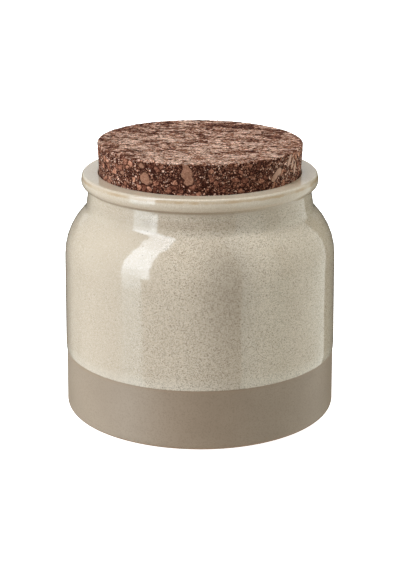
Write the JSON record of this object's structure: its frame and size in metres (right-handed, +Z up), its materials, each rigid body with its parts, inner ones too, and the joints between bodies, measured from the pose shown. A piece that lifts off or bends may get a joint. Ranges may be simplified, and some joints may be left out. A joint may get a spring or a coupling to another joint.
{
  "type": "ceramic storage jar",
  "caption": "Squat round stoneware storage jar with a beaded rim, sloping shoulder, speckled glaze over a bare clay foot band, and a tapered cork stopper.",
  "frame": {"origin": "centre of the foot, on the surface the jar stands on", "axes": "+Z up along the jar's turning axis; -Y faces the camera of the picture"},
  "size_m": [0.1194, 0.1194, 0.119],
  "materials": {
    "glazed_stoneware": "gloss",
    "cork_agglomerate": "matte"
  },
  "bodies": {
    "root": {"jar": "glazed_stoneware", "cork": "cork_agglomerate"}
  },
  "joints": []
}
